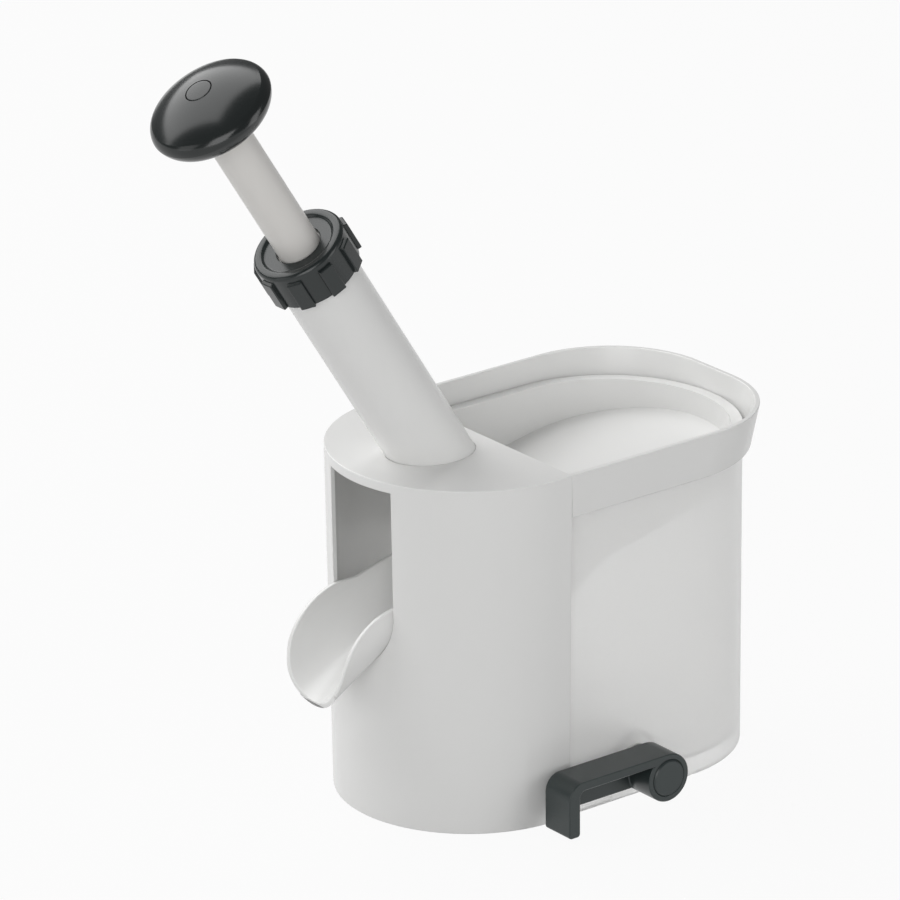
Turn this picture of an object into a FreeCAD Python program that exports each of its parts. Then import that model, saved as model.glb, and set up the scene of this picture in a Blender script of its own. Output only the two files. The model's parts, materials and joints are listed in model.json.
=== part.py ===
import FreeCAD, Part
import math
import os
import Sketcher

# Cherry pitter: X runs from the chute (-X) to the hopper (+X), the lever is on the front (-Y),
# Z is up, and the origin lies on the table under the middle of the body's footprint.

doc = FreeCAD.newDocument("cherry_pitter")
sheet = doc.addObject("Spreadsheet::Sheet", "Sizes")
Vector = FreeCAD.Vector

SIZES = (
    ("body_radius", 48.0, "half width of the body and radius of its round ends"),
    ("body_half", 31.0, "from the middle to the centre of each round end"),
    ("deck_height", 127.3, "deck above the table"),
    ("shell_wall", 1.8, "wall of the housing shell"),
    ("deck_plate", 2.6, "thickness of the deck"),
    ("seam_place", -25.0, "front edge of the deck and of the slotted shell"),
    ("seam_height", 111.8, "lower edge of the hopper band"),
    ("deck_flare", 1.6, "how much wider the body is at the deck, each side"),
    ("band_flare", 1.5, "how far the hopper band's lower edge stands out of the body's side"),
    ("band_reach", 1.6, "how far it stands out of the body's round end"),
    ("band_flat", 1.5, "half width less corner radius of the band's lower edge"),
    ("rim_reach", 1.2, "how far the hopper's rim stands out of the body's round end"),
    ("rim_flat", 9.6, "half width less corner radius of the rim"),
    ("slot_half", 16.7, "half width of the slot"),
    ("slot_drop", 51.3, "foot of the slot's straight sides below the deck"),
    ("lip_height", 1.0, "height of the deck rim above the slot"),
    ("axis_place", -47.5, "where the plunger's axis crosses the deck"),
    ("tilt", 32.3, "lean of the plunger from upright"),
    ("tube_radius", 13.95, "outer radius of the guide tube"),
    ("tube_wall", 2.3, "wall of the guide tube"),
    ("tube_mouth", 14.0, "mouth of the tube below the deck, along its axis"),
    ("tube_length", 98.5, "end of the tube above the deck, along its axis"),
    ("neck_length", 9.4, "threaded neck under the nut"),
    ("neck_cut", 0.8, "how far the neck stands back from the tube"),
    ("nut_radius", 16.5, "radius of the nut under its ribs"),
    ("nut_rib", 1.1, "height of a rib on the nut"),
    ("nut_rib_width", 5.4, "width of a rib on the nut"),
    ("nut_ribs", 9.0, "ribs around the nut"),
    ("nut_skirt", 14.3, "height of the nut"),
    ("nut_top", 3.0, "thickness of the nut's end wall"),
    ("nut_rim", 1.1, "height of the nut's raised rim"),
    ("nut_rim_width", 3.0, "width of the raised rim"),
    ("nut_edge", 1.4, "round of the nut's outer edge"),
    ("rib_foot", 0.15, "how far the ribs hang below the nut"),
    ("rib_top", 2.2, "end of a rib's root below the nut's end"),
    ("rib_slope", 0.9, "how far a rib's crest stops short of its root"),
    ("rib_root", 1.0, "depth of a rib's root in the nut"),
    ("rod_radius", 7.6, "radius of the plunger rod"),
    ("rod_wall", 2.2, "wall of the plunger rod"),
    ("rod_end", 1.0, "lower end of the rod above the deck, along the axis"),
    ("knob_place", 161.0, "underside of the knob above the deck, along the axis"),
    ("knob_radius", 21.9, "radius of the knob"),
    ("knob_edge", 6.0, "height of the knob's widest circle above its underside"),
    ("knob_under_round", 7.5, "radius of the rounding under the knob's edge"),
    ("knob_shoulder", 3.6, "height of the dome's foot above the widest circle"),
    ("knob_shoulder_in", 1.9, "how far the dome's foot lies inside the widest circle"),
    ("knob_edge_round", 4.6, "radius of the rounding above the knob's edge"),
    ("knob_height", 15.2, "height of the knob"),
    ("knob_flat", 15.6, "radius of the flat under the knob"),
    ("knob_grip", 10.0, "depth of the rod's socket in the knob"),
    ("plug_radius", 4.8, "radius of the plug in the knob"),
    ("plug_depth", 2.4, "depth of the plug's seat"),
    ("plug_proud", 0.25, "how far the plug stands out of the dome"),
    ("plug_edge", 0.7, "bevel of the plug's edge"),
    ("collar_height", 4.0, "height of the spring collar"),
    ("wire_radius", 0.75, "half the spring's wire"),
    ("coil_radius", 9.55, "mean radius of the spring"),
    ("coil_turns", 10.0, "turns of the spring"),
    ("bush_height", 6.0, "height of the guide bush"),
    ("bush_lift", 1.0, "foot of the guide bush above the rod's lower end"),
    ("stripper_height", 3.0, "height of the stripper ring"),
    ("holder_height", 6.0, "height of the blade holder below the rod"),
    ("blade_grip", 4.0, "depth of the blade in its holder"),
    ("blade_drop", 6.2, "blade below its holder"),
    ("blade_notch", 0.6, "depth of the blade's notch as a share of its half width"),
    ("holder_edge", 1.0, "bevel of the holder's foot"),
    ("blade_half", 6.4, "half width of the blade"),
    ("blade_sheet", 1.0, "thickness of the blade"),
    ("seat_depth", 50.0, "seat ring below the deck, along the axis"),
    ("seat_radius", 14.0, "outer radius of the seat ring"),
    ("seat_bore", 8.6, "bore of the seat ring"),
    ("seat_height", 3.0, "height of the seat ring"),
    ("seat_lead", 2.2, "width of the seat ring's funnel"),
    ("seat_lead_depth", 1.4, "depth of that funnel"),
    ("slit_width", 0.8, "width of a slit in the seat ring"),
    ("slit_reach", 2.4, "length of a slit in the seat ring"),
    ("seat_margin", 1.5, "floor beyond the seat's wall before it bends"),
    ("seat_wall", 2.6, "wall around the seat ring"),
    ("seat_boss", 6.0, "height of that wall below the seat"),
    ("seat_ledge", 2.0, "ledge under the seat ring, inside its bore"),
    ("tub_wall", 2.0, "wall of the hopper tub"),
    ("tub_rise", 17.5, "height of the tub's floor gained from the seat to the far end"),
    ("floor_share", 1.15, "upright thickness of the sloping floor, in walls"),
    ("gate_half", 16.5, "half width of the way from the hopper to the seat"),
    ("gate_top", 9.0, "top of that way below the deck plate"),
    ("cheek_top", 14.0, "top of the seat's side walls below the deck plate"),
    ("wiper_height", 2.0, "thickness of the wiper ring"),
    ("container_wall", 1.8, "wall of the container"),
    ("container_left", -32.0, "left wall of the container"),
    ("container_inset", 0.8, "how far the container stands back from the body's side"),
    ("container_gap", 0.4, "clearance of the container's neck inside the shell"),
    ("container_drop", 11.3, "top of the container below the deck"),
    ("container_dip", 62.0, "top of the container's low left wall"),
    ("floor_height", 6.0, "underside of the container's floor"),
    ("shaft_place", 4.6, "lever shaft's place along the body"),
    ("shaft_height", 12.7, "lever shaft above the table"),
    ("shaft_radius", 4.0, "radius of the lever shaft"),
    ("crank_radius", 2.2, "radius of the crank pin"),
    ("crank_throw", 2.0, "offset of the crank pin"),
    ("crank_half", 5.4, "half length of the crank pin"),
    ("crank_play", 0.75, "room for the crank pin's circle in the stem's eye"),
    ("stem_flat", 0.6, "how far the stem's flats lie inside the crank pin's ends"),
    ("shaft_tail", 6.0, "shaft beyond the crank pin"),
    ("clip_depth", 0.8, "depth of the clip's groove in the shaft"),
    ("clip_sheet", 1.0, "thickness of the shaft's clip"),
    ("clip_width", 2.9, "width of the clip's ring"),
    ("bush_wall", 1.5, "wall of the shaft's bush"),
    ("bush_flange", 1.1, "width of the bush's flange"),
    ("bush_face", 1.0, "thickness of the bush's flange"),
    ("bush_tail", 4.0, "length of the bush behind the container's front wall"),
    ("bearing_gap", 1.0, "gap from the crank pin to the rear bearing plate"),
    ("bearing_sheet", 4.0, "thickness of the rear bearing plate"),
    ("bearing_half", 6.5, "half width of the shaft's rear bearing plate"),
    ("bearing_drop", 5.0, "bearing plate below the shaft's middle"),
    ("dome_foot", 25.5, "radius of the raised floor over the suction pad, at its foot"),
    ("dome_crown", 15.0, "radius of the raised floor at its top"),
    ("dome_top", 26.0, "top of the raised floor"),
    ("tunnel_radius", 11.0, "radius of the tunnel around the shaft"),
    ("pad_radius", 23.0, "radius of the suction pad"),
    ("pad_height", 7.0, "height of the suction pad"),
    ("pad_lip", 1.2, "thickness of the suction pad's edge"),
    ("pad_hub", 2.2, "width of the pad's hub beyond the stem"),
    ("pad_sheet", 3.2, "thickness of the pad's middle"),
    ("pad_hollow", 2.4, "width of the pad's rim on the table"),
    ("stem_radius", 6.8, "radius of the suction stem"),
    ("stem_top", 20.6, "top of the suction stem"),
    ("lever_gap", 4.5, "gap from the body's side to the lever's arm"),
    ("lever_depth", 13.5, "depth of the lever's arm, front to back"),
    ("boss_radius", 8.8, "radius of the lever's boss"),
    ("neck_radius", 6.8, "radius of the lever's neck"),
    ("arm_reach", 39.5, "left end of the lever"),
    ("arm_sheet", 3.2, "thickness of the arm's top strip"),
    ("hook_sheet", 4.8, "thickness of the lever's hooked end"),
    ("hook_round", 6.0, "outer corner of the hook"),
    ("hook_inner", 2.6, "inner corner of the hook"),
    ("hook_edge", 1.2, "bevel of the hook's foot"),
    ("hook_foot", 1.6, "bottom of the hook above the table"),
    ("web_sheet", 2.4, "thickness of the lever's back web"),
    ("web_foot", 7.0, "lower edge of the back web above the table"),
    ("web_inset", 1.6, "how far the web stops below the arm's top"),
    ("cap_radius", 6.6, "radius of the cap in the lever's boss"),
    ("cap_sheet", 2.0, "thickness of that cap"),
    ("cap_proud", 0.4, "how far the cap stands out of the boss"),
    ("cap_edge", 0.5, "bevel of that cap"),
    ("shaft_short", 1.0, "gap from the shaft's end to the cap"),
    ("chute_wall", 1.7, "wall of the chute"),
    ("chute_turn_inset", 2.0, "where the chute's floor steepens, inside the body's round end"),
    ("chute_turn_drop", 66.3, "its floor there below the deck"),
    ("chute_inner_slope", 21.0, "slope of the chute inside the housing"),
    ("chute_outer_slope", 31.5, "slope of the chute's spout"),
    ("chute_reach", 19.3, "tip of the chute outside the body's round end"),
    ("chute_rim_drop", 46.3, "the chute's rims at the slot below the deck"),
    ("jamb_inset", 3.0, "end of the level rims inside the body's round end"),
    ("rim_run", 8.0, "length of the level rims"),
    ("nose_drop", 21.0, "the spout's foremost point below the rims"),
    ("nose_height", 21.0, "height of the spout's end below that point"),
    ("nose_in", 3.0, "how far the spout's lower end lies back"),
    ("rim_bulge", 5.1, "rise of the rim's curve towards the spout"),
    ("nose_bulge", 2.35, "rise of the curve at the spout's end"),
    ("head_rise", 14.0, "height of the chute's walls at its head"),
    ("running", 0.08, "clearance of a running fit"),
    ("seated", 0.05, "clearance of a pressed or glued joint"),
    ("loose", 0.3, "clearance of a lift-off fit"),
)

SEAT_SLITS = 8


class Size:
    """A length or angle together with the sheet expression that gives it."""

    def __init__(self, value, text):
        self.value = float(value)
        self.text = text

    def __add__(self, other):
        return join(self, "+", other, self.value + number(other))

    def __sub__(self, other):
        return join(self, "-", other, self.value - number(other))

    def __mul__(self, other):
        return join(self, "*", other, self.value * number(other))

    def __truediv__(self, other):
        return join(self, "/", other, self.value / number(other))

    def __neg__(self):
        return Size(-self.value, "-1 * " + self.text)

    def __float__(self):
        return self.value

    def root(self):
        return Size(math.sqrt(self.value), "sqrt(" + self.text + ")")


def number(thing):
    return float(thing)


def words(thing):
    return thing.text if isinstance(thing, Size) else repr(float(thing))


def join(left, sign, right, value):
    return Size(value, "(" + words(left) + " " + sign + " " + words(right) + ")")


def fill_sheet():
    sizes = {}
    for row, (name, value, note) in enumerate(SIZES, start=1):
        sheet.set("A%d" % row, note)
        sheet.set("B%d" % row, str(value))
        sheet.setAlias("B%d" % row, name)
        sizes[name] = Size(value, "Sizes." + name)
    doc.recompute()
    return sizes


S = fill_sheet()
ZERO = Size(0.0, "0.0")
TILT_SINE = Size(math.sin(math.radians(S["tilt"].value)), "sin(Sizes.tilt)")
TILT_COSINE = Size(math.cos(math.radians(S["tilt"].value)), "cos(Sizes.tilt)")
BODY_END = S["body_half"] + S["body_radius"]
DECK_RADIUS = S["body_radius"] + S["deck_flare"]
BAND_HALF = S["body_radius"] + S["band_flare"]
UNDER_DECK = S["deck_height"] - S["deck_plate"]
CONTAINER_RADIUS = S["body_radius"] - S["container_inset"]
CONTAINER_NECK = S["body_radius"] - S["shell_wall"] - S["container_gap"]
CONTAINER_TOP = S["deck_height"] - S["container_drop"]
LEVER_BACK = S["body_radius"] + S["lever_gap"]
LEVER_FRONT = LEVER_BACK + S["lever_depth"]
FAR = (S["body_half"] + S["body_radius"]) * 3.0


def bind(thing, name, size):
    """Tie one property to the sheet."""
    thing.setExpression(name, words(size))


def place(thing, x=0.0, y=0.0, z=0.0, axis=None, angle=None):
    if axis is not None:
        thing.Placement = FreeCAD.Placement(Vector(0, 0, 0), FreeCAD.Rotation(axis, number(angle)))
        if isinstance(angle, Size):
            bind(thing, "Placement.Rotation.Angle", angle)
    for name, size in (("x", x), ("y", y), ("z", z)):
        bind(thing, "Placement.Base." + name, size)
    return thing


def on_plunger(thing):
    """Stand a piece on the plunger's inclined axis, with its zero at the deck."""
    thing.Placement = FreeCAD.Placement(Vector(0, 0, 0), FreeCAD.Rotation(Vector(0, -1, 0), S["tilt"].value))
    bind(thing, "Placement.Rotation.Angle", S["tilt"])
    bind(thing, "Placement.Base.x", S["axis_place"])
    bind(thing, "Placement.Base.z", S["deck_height"])
    return thing


def box(name, x, y, z, length, width, height):
    solid = doc.addObject("Part::Box", name)
    bind(solid, "Length", length)
    bind(solid, "Width", width)
    bind(solid, "Height", height)
    return place(solid, x, y, z)


def cylinder(name, radius, height, x=0.0, y=0.0, z=0.0, along="z"):
    solid = doc.addObject("Part::Cylinder", name)
    bind(solid, "Radius", radius)
    bind(solid, "Height", height)
    if along == "y":
        return place(solid, x, y, z, Vector(-1, 0, 0), 90.0)
    return place(solid, x, y, z)


def cone(name, low_radius, high_radius, height, x=0.0, y=0.0, z=0.0):
    solid = doc.addObject("Part::Cone", name)
    bind(solid, "Radius1", low_radius)
    bind(solid, "Radius2", high_radius)
    bind(solid, "Height", height)
    return place(solid, x, y, z)


def fuse(name, *solids):
    joined = doc.addObject("Part::MultiFuse", name)
    joined.Shapes = list(solids)
    joined.Refine = True
    return joined


def cut(name, base, *tools):
    for index, tool in enumerate(tools):
        last = index == len(tools) - 1
        result = doc.addObject("Part::Cut", name if last else name + "_cut%d" % index)
        result.Base = base
        result.Tool = tool
        result.Refine = True
        base = result
    return base


def common(name, *solids):
    kept = doc.addObject("Part::MultiCommon", name)
    kept.Shapes = list(solids)
    return kept


def stadium(name, radius, foot, height):
    """An upright prism with the body's plan: two round ends and straight sides."""
    half = S["body_half"]
    left = cylinder(name + "_left", radius, height, -half, 0.0, foot)
    right = cylinder(name + "_right", radius, height, half, 0.0, foot)
    middle = box(name + "_middle", -half, -radius, foot, half * 2.0, radius * 2.0, height)
    return fuse(name, left, middle, right)


def plane_of(body, role):
    return [feature for feature in body.Origin.OriginFeatures if feature.Role == role][0]


def sketch_loop(body, name, role, corners):
    """A closed outline. A corner is (x, y), or (x, y, radius, side) where an arc leaves it."""
    sketch = body.newObject("Sketcher::SketchObject", name)
    sketch.AttachmentSupport = [(plane_of(body, role), "")]
    sketch.MapMode = "FlatFace"
    count = len(corners)
    spots = [Vector(number(corner[0]), number(corner[1]), 0) for corner in corners]
    for index, corner in enumerate(corners):
        start = spots[index]
        end = spots[(index + 1) % count]
        if len(corner) == 2:
            sketch.addGeometry(Part.LineSegment(start, end), False)
            continue
        radius = number(corner[2])
        chord = end - start
        normal = Vector(-chord.y, chord.x, 0).normalize() * corner[3]
        rise = radius - math.sqrt(radius ** 2 - (chord.Length / 2.0) ** 2)
        middle = (start + end) * 0.5 + normal * rise
        first, last = (end, start) if corner[3] > 0 else (start, end)
        sketch.addGeometry(Part.Arc(first, middle, last), False)
    for index, corner in enumerate(corners):
        follower = (index + 1) % count
        here = end_of(sketch, index, spots[follower])
        there = end_of(sketch, follower, spots[follower])
        sketch.addConstraint(Sketcher.Constraint("Coincident", index, here, follower, there))
    for index, corner in enumerate(corners):
        point = end_of(sketch, index, spots[index])
        for kind, size in (("DistanceX", corner[0]), ("DistanceY", corner[1])):
            rule = sketch.addConstraint(
                Sketcher.Constraint(kind, -1, 1, index, point, number(size)))
            if isinstance(size, Size):
                sketch.setExpression("Constraints[%d]" % rule, size.text)
        if len(corner) > 2:
            rule = sketch.addConstraint(Sketcher.Constraint("Radius", index, number(corner[2])))
            if isinstance(corner[2], Size):
                sketch.setExpression("Constraints[%d]" % rule, corner[2].text)
    return sketch


def end_of(sketch, index, spot):
    """1 or 2, whichever end of an edge lies on a spot. An arc may run the other way round."""
    edge = sketch.Geometry[index]
    first = edge.StartPoint
    return 1 if first.distanceToPoint(spot) < edge.EndPoint.distanceToPoint(spot) else 2


def turned(name, corners):
    """A piece turned about its own upright axis, as corners of radius and height."""
    body = doc.addObject("PartDesign::Body", name)
    sketch = sketch_loop(body, name + "_outline", "XZ_Plane", corners)
    turn = body.newObject("PartDesign::Revolution", name + "_turn")
    turn.Profile = sketch
    turn.ReferenceAxis = (sketch, ["V_Axis"])
    turn.Angle = 360.0
    body.Tip = turn
    doc.recompute()
    return body


def padded(body, name, role, corners, length, reversed_way=False, midplane=False):
    sketch = sketch_loop(body, name + "_outline", role, corners)
    pad = body.newObject("PartDesign::Pad", name)
    pad.Profile = sketch
    bind(pad, "Length", length)
    pad.Reversed = reversed_way
    pad.Midplane = midplane
    body.Tip = pad
    return pad


def left_outline(radius, height):
    """The shell's plan: a half circle and two short straight sides up to the seam."""
    start = -S["body_half"].value
    seam = S["seam_place"].value
    low = Vector(start, -radius, height)
    high = Vector(start, radius, height)
    tip = Vector(start - radius, 0, height)
    turn = radius * math.sqrt(0.5)
    return Part.Wire([
        Part.LineSegment(Vector(seam, -radius, height), low).toShape(),
        Part.Arc(low, Vector(start - turn, -turn, height), tip).toShape(),
        Part.Arc(tip, Vector(start - turn, turn, height), high).toShape(),
        Part.LineSegment(high, Vector(seam, radius, height)).toShape(),
        Part.LineSegment(Vector(seam, radius, height), Vector(seam, -radius, height)).toShape(),
    ])


def right_outline(half, corner, end, height):
    """The hopper's plan: straight sides and a far end with two round corners."""
    seam = S["seam_place"].value
    bend = end - corner
    flat = half - corner
    turn = corner * math.sqrt(0.5)
    return Part.Wire([
        Part.LineSegment(Vector(seam, -half, height), Vector(bend, -half, height)).toShape(),
        Part.Arc(Vector(bend, -half, height), Vector(bend + turn, -flat - turn, height),
                 Vector(end, -flat, height)).toShape(),
        Part.LineSegment(Vector(end, -flat, height), Vector(end, flat, height)).toShape(),
        Part.Arc(Vector(end, flat, height), Vector(bend + turn, flat + turn, height),
                 Vector(bend, half, height)).toShape(),
        Part.LineSegment(Vector(bend, half, height), Vector(seam, half, height)).toShape(),
        Part.LineSegment(Vector(seam, half, height), Vector(seam, -half, height)).toShape(),
    ])


def part_feature(name, shape):
    feature = doc.addObject("Part::Feature", name)
    feature.Shape = shape
    return feature


def shell_walls():
    """The drafted left shell and the flared band, hollow, before slot and tube hole are cut."""
    wall = S["shell_wall"].value
    top = S["deck_height"].value
    seam = S["seam_height"].value
    foot_radius = S["body_radius"].value
    deck_radius = DECK_RADIUS.value
    under = UNDER_DECK.value
    left = Part.makeLoft([left_outline(foot_radius, 0), left_outline(deck_radius, top)], True, True)
    hollow = Part.makeLoft(
        [left_outline(foot_radius - wall, 0), left_outline(deck_radius - wall, top)], True, True)
    far = FAR.value
    slab = Part.makeBox(far * 2.0, far * 2.0, top, Vector(-far, -far, under - top))
    hollow = hollow.common(slab)
    half = BAND_HALF.value
    end = BODY_END.value
    band = (half, half - S["band_flat"].value, end + S["band_reach"].value)
    rim = (deck_radius, deck_radius - S["rim_flat"].value, end + S["rim_reach"].value)
    right = Part.makeLoft([right_outline(*band, seam), right_outline(*rim, top)], True, True)
    inner_band = [size - wall for size in band]
    inner_rim = [size - wall for size in rim]
    well = Part.makeLoft(
        [right_outline(*inner_band, seam), right_outline(*inner_rim, top)], True, True)
    return left.cut(hollow).fuse(right.cut(well)).removeSplitter()


def make_housing_shell():
    walls = part_feature("shell_walls", shell_walls())
    reach = S["body_radius"]
    slot_top = UNDER_DECK - S["lip_height"]
    slot_foot = S["deck_height"] - S["slot_drop"]
    slot = box("slot", -(S["body_half"] + reach * 1.2), -S["slot_half"], slot_foot,
               reach, S["slot_half"] * 2.0, slot_top - slot_foot)
    gap = S["seated"].value
    chute_way = part_feature("chute_way", chute_form(
        chute_outer() + gap, S["chute_wall"].value + gap, S["body_radius"].value / 2.0))
    hole = cylinder("tube_hole", S["tube_radius"] + S["seated"], S["body_radius"] * 2.0)
    on_plunger(hole)
    bind(hole, "Placement.Base.x", S["axis_place"] + TILT_SINE * S["body_radius"])
    bind(hole, "Placement.Base.z", S["deck_height"] - TILT_COSINE * S["body_radius"])
    return cut("housing_shell", walls, slot, chute_way, hole)


def make_guide_tube():
    outer = S["tube_radius"]
    bore = outer - S["tube_wall"]
    neck = outer - S["neck_cut"]
    top = S["tube_length"]
    shoulder = top - S["neck_length"]
    return on_plunger(turned("guide_tube", (
        (bore, -S["tube_mouth"]), (outer, -S["tube_mouth"]), (outer, shoulder),
        (neck, shoulder), (neck, top), (bore, top))))


def make_collar_nut():
    """A screw cap with a raised rim and blocky grip ribs."""
    neck = S["tube_radius"] - S["neck_cut"] + S["running"]
    ceiling = S["tube_length"] + S["wiper_height"]
    top = ceiling + S["nut_top"]
    foot = top - S["nut_skirt"]
    outer = S["nut_radius"]
    hole = S["rod_radius"] + S["loose"] * 2.0
    recess = outer - S["nut_rim_width"]
    edge = S["nut_edge"]
    body = turned("collar_nut", (
        (hole, ceiling), (neck, ceiling), (neck, foot), (outer, foot),
        (outer, top - edge, edge, -1), (outer - edge, top), (recess, top),
        (recess - S["nut_rim"], top - S["nut_rim"]), (hole, top - S["nut_rim"])))
    low = foot - S["rib_foot"]
    inside = outer - S["rib_root"]
    crest = outer + S["nut_rib"]
    shoulder = top - S["rib_top"]
    rib = padded(body, "nut_rib", "XZ_Plane", (
        (-inside, low + S["rib_foot"] * 2.0), (-crest, low), (-crest, shoulder - S["rib_slope"]),
        (-inside, shoulder)), S["nut_rib_width"], midplane=True)
    doc.recompute()
    ring = body.newObject("PartDesign::PolarPattern", "nut_ribs_round")
    ring.Originals = [rib]
    ring.Axis = (body.Origin.OriginFeatures[2], [""])
    ring.Angle = 360.0
    ring.Occurrences = int(S["nut_ribs"].value)
    bind(ring, "Occurrences", S["nut_ribs"])
    body.Tip = ring
    return on_plunger(body)


def ring_piece(name, inner, outer, low, high):
    return on_plunger(turned(name, ((inner, low), (outer, low), (outer, high), (inner, high))))


def make_wiper_ring():
    neck = S["tube_radius"] - S["neck_cut"]
    return ring_piece("wiper_ring", S["rod_radius"] + S["running"], neck,
                      S["tube_length"], S["tube_length"] + S["wiper_height"])


def make_plunger_rod():
    outer = S["rod_radius"]
    return ring_piece("plunger_rod", outer - S["rod_wall"], outer,
                      S["rod_end"], S["knob_place"] + S["knob_grip"])


def collar_place():
    """Underside of the spring collar, just below the tube's end."""
    return S["tube_length"] - S["loose"] - S["collar_height"]


def make_spring_collar():
    bore = S["tube_radius"] - S["tube_wall"]
    return ring_piece("spring_collar", S["rod_radius"] + S["seated"], bore - S["running"],
                      collar_place(), collar_place() + S["collar_height"])


def bush_foot():
    return S["rod_end"] + S["bush_lift"]


def make_guide_bush():
    bore = S["tube_radius"] - S["tube_wall"]
    return ring_piece("guide_bush", S["rod_radius"] + S["running"], bore - S["seated"],
                      bush_foot(), bush_foot() + S["bush_height"])


def make_stripper_ring():
    bore = S["tube_radius"] - S["tube_wall"]
    return ring_piece("stripper_ring", S["rod_radius"] + S["loose"], bore - S["seated"],
                      -S["tube_mouth"], S["stripper_height"] - S["tube_mouth"])


def bent_arc(start, corner, end):
    """The arc that leaves start towards corner and arrives at end from it."""
    middle = (start + end) * 0.5
    half_chord = (end - middle).Length
    rise = corner - middle
    lean = math.atan2(rise.Length, half_chord)
    crown = middle + rise * (half_chord * math.tan(lean / 2.0) / rise.Length)
    return Part.Arc(start, crown, end).toShape()


def biarc(start, leaving, end, arriving):
    """Two arcs that join two points and keep both directions."""
    span = end - start
    both = leaving + arriving
    apart = 2.0 * (1.0 - leaving.dot(arriving))
    reach = (-span.dot(both) + math.sqrt(span.dot(both) ** 2 + apart * span.dot(span))) / apart
    first = start + leaving * reach
    second = end - arriving * reach
    joint = (first + second) * 0.5
    return [bent_arc(start, first, joint), bent_arc(joint, second, end)]


def make_return_spring():
    """One unbroken wire round the rod, each quarter turn a pair of tangent arcs."""
    wire = S["wire_radius"].value
    radius = S["coil_radius"].value
    low = (bush_foot() + S["bush_height"]).value + wire
    high = collar_place().value - wire
    steps = int(S["coil_turns"].value * 4)
    climb = (high - low) / steps
    quarter = math.pi / 2.0

    def spot(step):
        angle = step * quarter
        return Vector(radius * math.cos(angle), radius * math.sin(angle), low + climb * step)

    def heading(step):
        angle = step * quarter
        return Vector(-radius * quarter * math.sin(angle), radius * quarter * math.cos(angle),
                      climb).normalize()

    edges = []
    for step in range(steps):
        edges += biarc(spot(step), heading(step), spot(step + 1), heading(step + 1))
    section = Part.Wire([Part.Circle(spot(0), heading(0), wire).toShape()])
    spring = Part.Wire(edges).makePipeShell([section], True, False)
    gap = (high - low) / S["coil_turns"].value - 2.0 * wire
    print("return_spring least gap between turns %.2f mm" % gap)
    return on_plunger(part_feature("return_spring", spring))


def make_blade_holder():
    """A plug in the rod's foot, slotted across for the blade."""
    bore = S["rod_radius"] - S["rod_wall"] - S["seated"]
    head = S["rod_radius"] - S["running"]
    top = S["rod_end"]
    foot = top - S["holder_height"]
    bevel = S["holder_edge"]
    plug = turned("holder_plug", (
        (ZERO, foot), (head - bevel, foot), (head, foot + bevel), (head, top), (bore, top),
        (bore, top + S["holder_height"]), (ZERO, top + S["holder_height"])))
    half = S["blade_half"] + S["seated"]
    thick = S["blade_sheet"] / 2.0 + S["seated"]
    depth = S["blade_grip"] + S["seated"]
    under = foot - depth
    first = box("slot_across", -half, -thick, under, half * 2.0, thick * 2.0, depth * 2.0)
    second = box("slot_along", -thick, -half, under, thick * 2.0, half * 2.0, depth * 2.0)
    return on_plunger(cut("blade_holder", plug, first, second))


def make_pitting_blade():
    """Two crossed stainless sheets whose corners run out in points."""
    half = S["blade_half"]
    top = S["rod_end"] - S["holder_height"] + S["blade_grip"]
    foot = top - S["blade_grip"] - S["blade_drop"]
    corners = ((-half, foot), (ZERO, foot + half * S["blade_notch"]), (half, foot), (half, top),
               (-half, top))
    body = doc.addObject("PartDesign::Body", "pitting_blade")
    padded(body, "blade_across", "XZ_Plane", corners, S["blade_sheet"], midplane=True)
    padded(body, "blade_along", "YZ_Plane", corners, S["blade_sheet"], midplane=True)
    return on_plunger(body)


def make_knob():
    """A mushroom head with a round edge and a shallow dome, part of a sphere on the axis."""
    outer = S["knob_radius"]
    low = S["knob_place"]
    edge = low + S["knob_edge"]
    socket = S["rod_radius"] + S["seated"]
    roof = low + S["knob_grip"]
    plug = S["plug_radius"] + S["seated"]
    top = low + S["knob_height"]
    shoulder = edge + S["knob_shoulder"]
    foot = outer - S["knob_shoulder_in"]
    rise = top - shoulder
    below = (foot * foot - plug * plug + rise * rise) / (rise * 2.0)
    dome = (plug * plug + below * below).root()
    return on_plunger(turned("knob", (
        (socket, low), (S["knob_flat"], low, S["knob_under_round"], -1),
        (outer, edge, S["knob_edge_round"], -1), (foot, shoulder, dome, -1), (plug, top),
        (plug, top - S["plug_depth"]), (ZERO, top - S["plug_depth"]), (ZERO, roof),
        (socket, roof))))


def make_knob_plug():
    low = S["knob_place"] + S["knob_height"] - S["plug_depth"] + S["seated"]
    top = low + S["plug_depth"] + S["plug_proud"]
    bevel = S["plug_edge"]
    return on_plunger(turned("knob_plug", (
        (ZERO, low), (S["plug_radius"], low), (S["plug_radius"], top - bevel),
        (S["plug_radius"] - bevel, top), (ZERO, top))))


def make_seat_ring():
    """Soft ring under the fruit: its bore is cut into flaps by radial slits."""
    high = -S["seat_depth"]
    low = high - S["seat_height"]
    ring = turned("seat_body", (
        (S["seat_bore"], low), (S["seat_radius"], low), (S["seat_radius"], high),
        (S["seat_bore"] + S["seat_lead"], high), (S["seat_bore"], high - S["seat_lead_depth"])))
    slits = []
    overrun = S["slit_width"]
    start = S["seat_bore"] - overrun
    for index in range(SEAT_SLITS):
        turn = 360.0 * index / SEAT_SLITS
        sine = math.sin(math.radians(turn))
        cosine = math.cos(math.radians(turn))
        half = S["slit_width"] / 2.0
        slit = box("seat_slit%d" % index, 0.0, 0.0, 0.0, S["slit_reach"] + overrun,
                   S["slit_width"], S["seat_height"] + overrun * 2.0)
        place(slit, start * cosine + half * sine, start * sine - half * cosine, low - overrun,
              Vector(0, 0, 1), turn)
        slits.append(slit)
    return on_plunger(cut("seat_ring", ring, *slits))


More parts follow.
